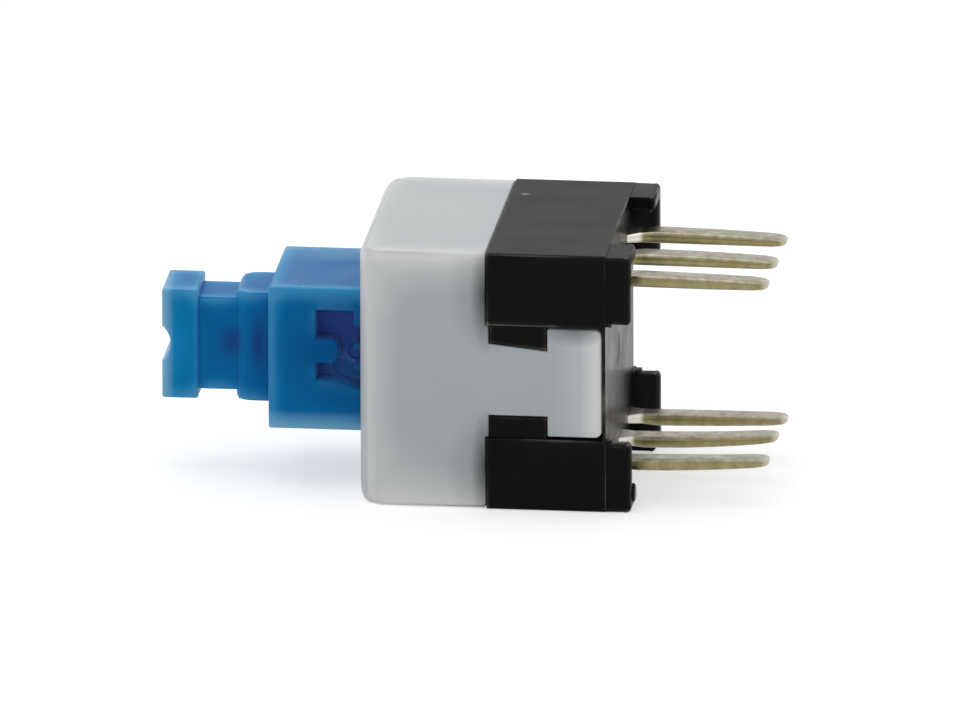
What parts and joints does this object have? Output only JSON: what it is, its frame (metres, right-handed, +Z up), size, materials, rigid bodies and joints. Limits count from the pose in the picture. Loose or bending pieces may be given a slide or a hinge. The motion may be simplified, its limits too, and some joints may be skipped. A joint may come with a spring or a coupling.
{
  "type": "self-locking pushbutton switch",
  "caption": "Square self-locking pushbutton switch lying on its side: white housing, black base, blue sprung plunger with heart-cam latch, and flat board terminals in rows.",
  "frame": {"origin": "centre of the terminal pattern, in the plane where the base's feet meet the board", "axes": "+X along the terminals toward their tips, the button toward -X; +Z up, across the two terminal rows, with the switch lying on its side; Y along the rows"},
  "size_m": [0.0197, 0.0086, 0.0086],
  "materials": {
    "white_plastic": "moulded, satin",
    "black_plastic": "moulded, satin",
    "blue_plastic": "moulded, translucent",
    "spring_steel": "drawn wire and rolled strip",
    "contact_bronze": "stamped sheet",
    "plated_brass": "stamped, dull tin plate with bare cut edges"
  },
  "bodies": {
    "body": {"housing": "white_plastic", "base": "black_plastic", "return_spring": "spring_steel", "latch_leaf": "spring_steel", "upper_released_terminal": "plated_brass", "upper_common_terminal": "plated_brass", "upper_pressed_terminal": "plated_brass", "lower_released_terminal": "plated_brass", "lower_common_terminal": "plated_brass", "lower_pressed_terminal": "plated_brass"},
    "plunger": {"plunger": "blue_plastic", "upper_wiper": "contact_bronze", "lower_wiper": "contact_bronze"},
    "latch": {"latch_wire": "spring_steel"}
  },
  "joints": [
    {"name": "plunger_slide", "type": "slide", "parent": "body", "child": "plunger", "axis": [1, 0, 0], "range_m": [0, 0.0025], "stiffness_N_per_m": 600, "springref_m": -0.0015, "deforming": ["return_spring"]},
    {"name": "latch_swing", "type": "hinge", "parent": "body", "child": "latch", "pos_m": [-0.00251, -0.003, 0.00035], "axis": [0, 1, 0], "range_deg": [0, 9.1]}
  ],
  "couplings": [
    {"joint": "latch_swing", "follows": "plunger_slide", "rad_per_m": 63.5}
  ]
}
